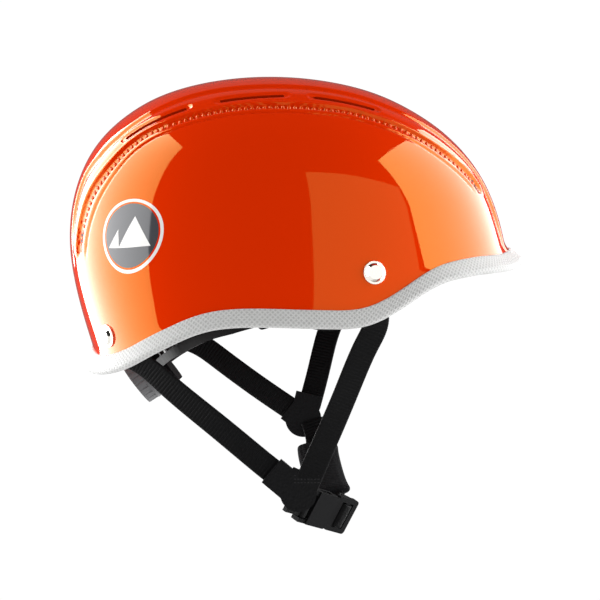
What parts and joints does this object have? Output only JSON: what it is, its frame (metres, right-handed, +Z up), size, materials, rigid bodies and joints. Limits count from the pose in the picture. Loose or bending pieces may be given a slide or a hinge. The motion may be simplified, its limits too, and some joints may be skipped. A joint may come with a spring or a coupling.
{
  "type": "climbing helmet",
  "caption": "half-shell climbing helmet with foam liner, bound edge, riveted webbing harness, chin pad, side-release buckle and a dial-tightened head band",
  "frame": {"origin": "the head seat: the point where the top of the wearer's head touches the crown pad", "axes": "+X forward over the brow, +Y to the wearer's left, +Z up through the crown"},
  "size_m": [0.2863, 0.221, 0.2878],
  "materials": {
    "shell": "deep orange, high gloss",
    "binding": "woven reflective grey tape",
    "foam": "dark expanded polystyrene foam",
    "pad_fabric": "black brushed fabric over soft foam",
    "webbing": "black ribbed webbing",
    "leather": "black synthetic leather",
    "rivet": "bright domed rivet",
    "buckle": "dark grey moulded plastic",
    "band": "black moulded plastic",
    "dial": "grey moulded plastic",
    "elastic": "black elastic"
  },
  "bodies": {
    "helmet": {"outer_shell": "shell", "edge_trim": "binding", "impact_liner": "foam", "crown_pad": "pad_fabric", "side_pad_left": "pad_fabric", "side_pad_right": "pad_fabric", "brow_pad": "pad_fabric", "rivet_caps": "rivet", "rivet_posts": "rivet", "rivet_washers": "rivet", "strap_front_left": "webbing", "strap_front_right": "webbing", "strap_rear_left": "webbing", "strap_rear_right": "webbing", "y_connector_left": "leather", "y_connector_right": "leather", "buckle_tab": "webbing", "chin_webbing": "webbing", "chin_pad": "pad_fabric", "strap_keeper": "elastic", "buckle_female": "buckle", "headband": "band", "headband_arms": "band"},
    "cradle_swing_frame": {"arm_guide_left": "band", "arm_guide_right": "band"},
    "cradle": {"nape_cradle": "band", "nape_pad": "pad_fabric", "dial_housing": "band"},
    "dial": {"dial_pinion": "dial", "dial_wheel": "dial", "dial_cap": "dial"},
    "upper_rack": {"rack_left": "dial"},
    "lower_rack": {"rack_right": "dial"},
    "ladder_half": {"buckle_male": "buckle"},
    "left_prong": {"prong_left": "buckle"},
    "right_prong": {"prong_right": "buckle"}
  },
  "joints": [
    {"name": "cradle_swing", "type": "hinge", "parent": "helmet", "child": "cradle_swing_frame", "pos_m": [-0.012, 0, -0.1196], "axis": [0, 1, 0], "range_deg": [-5, 5]},
    {"name": "cradle_slide", "type": "slide", "parent": "cradle_swing_frame", "child": "cradle", "axis": [-0.9611, 0, -0.276], "range_m": [0, 0.016]},
    {"name": "dial_turn", "type": "hinge", "parent": "cradle", "child": "dial", "pos_m": [-0.0855, 0, -0.1565], "axis": [-0.7878, 0, -0.6159], "range_deg": [0, 287]},
    {"name": "upper_rack_slide", "type": "slide", "parent": "cradle", "child": "upper_rack", "axis": [0, -1, 0], "range_m": [0, 0.016]},
    {"name": "lower_rack_slide", "type": "slide", "parent": "cradle", "child": "lower_rack", "axis": [0, 1, 0], "range_m": [0, 0.016]},
    {"name": "buckle_release", "type": "slide", "parent": "helmet", "child": "ladder_half", "axis": [0.6185, 0.7465, -0.2453], "range_m": [0, 0.018], "deforming": ["chin_webbing", "chin_pad", "strap_keeper", "prong_left", "prong_right"]},
    {"name": "left_prong_squeeze", "type": "hinge", "parent": "ladder_half", "child": "left_prong", "pos_m": [0.02065, -0.04245, -0.24552], "axis": [-0.6367, 0.6591, 0.4002], "range_deg": [0, 7], "stiffness_Nm_per_rad": 0.6},
    {"name": "right_prong_squeeze", "type": "hinge", "parent": "ladder_half", "child": "right_prong", "pos_m": [0.02704, -0.04372, -0.23325], "axis": [0.6367, -0.6591, -0.4002], "range_deg": [0, 7], "stiffness_Nm_per_rad": 0.6}
  ],
  "couplings": [
    {"joint": "dial_turn", "follows": "cradle_slide", "rad_per_m": 312.5},
    {"joint": "upper_rack_slide", "follows": "cradle_slide", "ratio": 1},
    {"joint": "lower_rack_slide", "follows": "cradle_slide", "ratio": 1}
  ]
}
